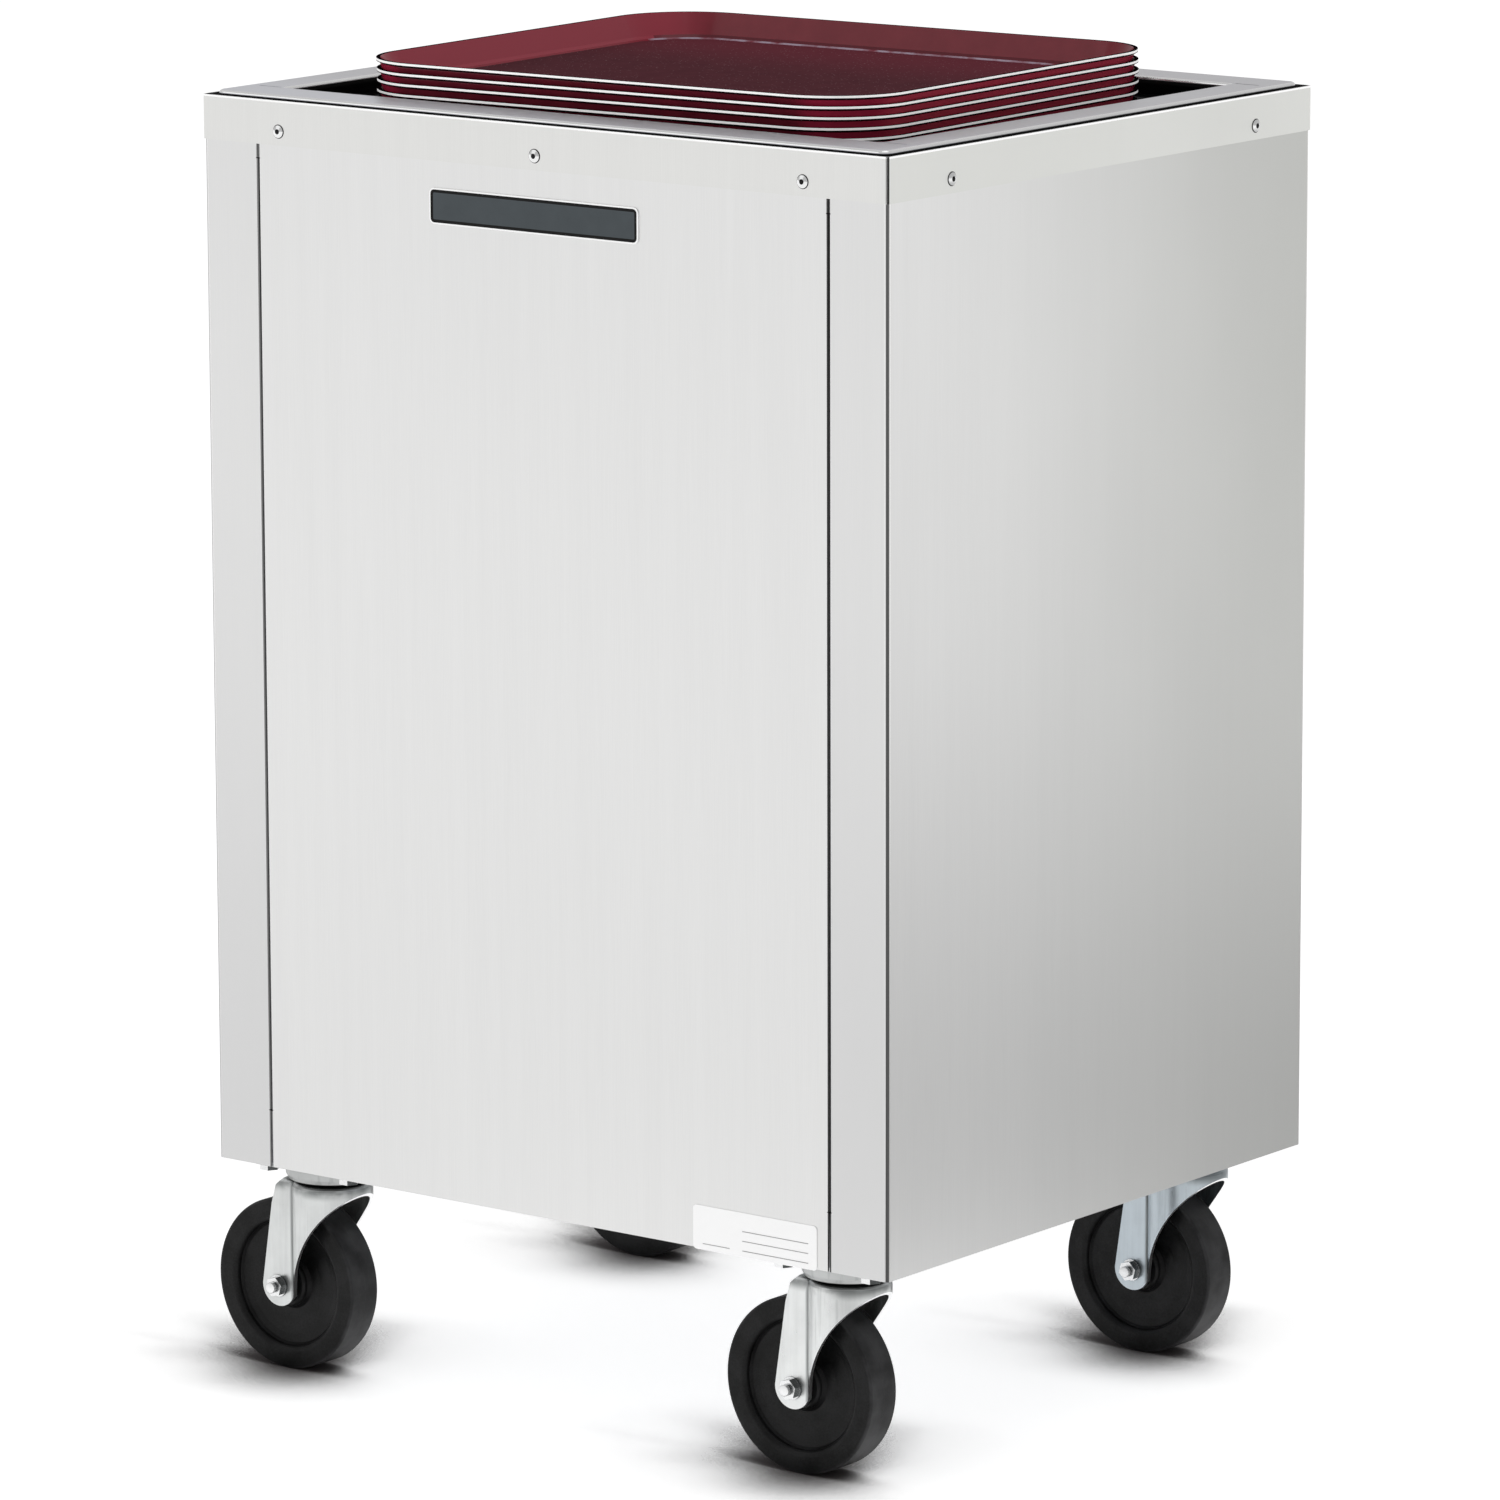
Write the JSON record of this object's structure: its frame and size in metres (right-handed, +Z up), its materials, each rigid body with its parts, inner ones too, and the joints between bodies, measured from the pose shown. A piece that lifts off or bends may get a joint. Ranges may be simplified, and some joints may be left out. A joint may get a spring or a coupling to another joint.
{
  "type": "mobile tray dispenser",
  "caption": "Enclosed stainless tray dispenser on swivel casters; a spring-borne carriage keeps the top tray of the stack just above the deck.",
  "frame": {"origin": "on the floor under the middle of the whole footprint, trailing casters included", "axes": "+Z up, -Y out of the front panel, +X to the right side panel seen from the front"},
  "size_m": [0.6432, 0.5144, 0.97],
  "materials": {
    "stainless": "brushed, vertical grain",
    "aluminium_rivet": "plain rivet",
    "galvanised_steel": "galvanised",
    "zinc_hardware": "zinc plated",
    "zinc_caster": "bright zinc plated",
    "spring_wire": "oiled spring steel",
    "bumper_rubber": "moulded rubber",
    "wheel_rubber": "satin moulded, worn tread",
    "nylon": "turned nylon",
    "tray_laminate": "moulded, speckled burgundy"
  },
  "bodies": {
    "cabinet": {"left_side_panel": "stainless", "right_side_panel": "stainless", "front_panel": "stainless", "back_panel": "stainless", "top_band": "stainless", "band_rivets": "aluminium_rivet", "top_frame": "galvanised_steel", "top_deck": "stainless", "base_pan": "galvanised_steel", "caster_pads": "galvanised_steel", "caster_bolts": "zinc_hardware", "stop_bumpers": "bumper_rubber", "left_rail": "galvanised_steel", "right_rail": "galvanised_steel", "spring_hangers": "galvanised_steel", "left_front_springs": "spring_wire", "left_back_springs": "spring_wire", "right_front_springs": "spring_wire", "right_back_springs": "spring_wire", "front_left_plate": "zinc_caster", "front_right_plate": "zinc_caster", "back_left_plate": "zinc_caster", "back_right_plate": "zinc_caster", "front_left_kingpin": "zinc_hardware", "front_right_kingpin": "zinc_hardware", "back_left_kingpin": "zinc_hardware", "back_right_kingpin": "zinc_hardware"},
    "carriage": {"left_side_plate": "galvanised_steel", "right_side_plate": "galvanised_steel", "crossbars": "galvanised_steel", "carriage_bolts": "zinc_hardware", "tray_platform": "stainless", "roller_pins": "zinc_hardware", "tray_stack": "tray_laminate"},
    "top_tray": {"top_tray": "tray_laminate"},
    "left_upper_roller": {"left_upper_roller": "nylon"},
    "left_lower_roller": {"left_lower_roller": "nylon"},
    "right_upper_roller": {"right_upper_roller": "nylon"},
    "right_lower_roller": {"right_lower_roller": "nylon"},
    "front_left_swivel": {"front_left_fork": "zinc_caster", "front_left_bush": "zinc_hardware", "front_left_axle": "zinc_hardware", "front_left_nut": "zinc_hardware"},
    "front_left_wheel": {"front_left_wheel": "wheel_rubber"},
    "front_right_swivel": {"front_right_fork": "zinc_caster", "front_right_bush": "zinc_hardware", "front_right_axle": "zinc_hardware", "front_right_nut": "zinc_hardware"},
    "front_right_wheel": {"front_right_wheel": "wheel_rubber"},
    "back_left_swivel": {"back_left_fork": "zinc_caster", "back_left_bush": "zinc_hardware", "back_left_axle": "zinc_hardware", "back_left_nut": "zinc_hardware"},
    "back_left_wheel": {"back_left_wheel": "wheel_rubber"},
    "back_right_swivel": {"back_right_fork": "zinc_caster", "back_right_bush": "zinc_hardware", "back_right_axle": "zinc_hardware", "back_right_nut": "zinc_hardware"},
    "back_right_wheel": {"back_right_wheel": "wheel_rubber"}
  },
  "joints": [
    {"name": "carriage_lift", "type": "slide", "parent": "cabinet", "child": "carriage", "axis": [0, 0, 1], "range_m": [-0.37, 0.085], "stiffness_N_per_m": 1000, "springref_m": 0.1464, "deforming": ["left_front_springs", "left_back_springs", "right_front_springs", "right_back_springs"]},
    {"name": "top_tray_lift", "type": "slide", "parent": "carriage", "child": "top_tray", "axis": [0, 0, 1], "range_m": [0, 0.15]},
    {"name": "left_upper_roller_spin", "type": "hinge", "parent": "carriage", "child": "left_upper_roller", "pos_m": [-0.27545, 0, 0.794], "axis": [1, 0, 0], "continuous": true},
    {"name": "left_lower_roller_spin", "type": "hinge", "parent": "carriage", "child": "left_lower_roller", "pos_m": [-0.27545, 0, 0.604], "axis": [1, 0, 0], "continuous": true},
    {"name": "right_upper_roller_spin", "type": "hinge", "parent": "carriage", "child": "right_upper_roller", "pos_m": [0.30215, 0, 0.794], "axis": [1, 0, 0], "continuous": true},
    {"name": "right_lower_roller_spin", "type": "hinge", "parent": "carriage", "child": "right_lower_roller", "pos_m": [0.30215, 0, 0.604], "axis": [1, 0, 0], "continuous": true},
    {"name": "front_left_caster_swivel", "type": "hinge", "parent": "cabinet", "child": "front_left_swivel", "pos_m": [-0.22365, -0.207, 0.15], "axis": [0, 0, 1], "continuous": true},
    {"name": "front_left_wheel_spin", "type": "hinge", "parent": "front_left_swivel", "child": "front_left_wheel", "pos_m": [-0.25765, -0.207, 0.064], "axis": [0, 1, 0], "continuous": true},
    {"name": "front_right_caster_swivel", "type": "hinge", "parent": "cabinet", "child": "front_right_swivel", "pos_m": [0.25035, -0.207, 0.15], "axis": [0, 0, 1], "continuous": true},
    {"name": "front_right_wheel_spin", "type": "hinge", "parent": "front_right_swivel", "child": "front_right_wheel", "pos_m": [0.21635, -0.207, 0.064], "axis": [0, 1, 0], "continuous": true},
    {"name": "back_left_caster_swivel", "type": "hinge", "parent": "cabinet", "child": "back_left_swivel", "pos_m": [-0.22365, 0.207, 0.15], "axis": [0, 0, 1], "continuous": true},
    {"name": "back_left_wheel_spin", "type": "hinge", "parent": "back_left_swivel", "child": "back_left_wheel", "pos_m": [-0.25765, 0.207, 0.064], "axis": [0, 1, 0], "continuous": true},
    {"name": "back_right_caster_swivel", "type": "hinge", "parent": "cabinet", "child": "back_right_swivel", "pos_m": [0.25035, 0.207, 0.15], "axis": [0, 0, 1], "continuous": true},
    {"name": "back_right_wheel_spin", "type": "hinge", "parent": "back_right_swivel", "child": "back_right_wheel", "pos_m": [0.21635, 0.207, 0.064], "axis": [0, 1, 0], "continuous": true}
  ],
  "couplings": [
    {"joint": "left_upper_roller_spin", "follows": "carriage_lift", "rad_per_m": -49.505},
    {"joint": "left_lower_roller_spin", "follows": "carriage_lift", "rad_per_m": -49.505},
    {"joint": "right_upper_roller_spin", "follows": "carriage_lift", "rad_per_m": -49.505},
    {"joint": "right_lower_roller_spin", "follows": "carriage_lift", "rad_per_m": -49.505}
  ]
}
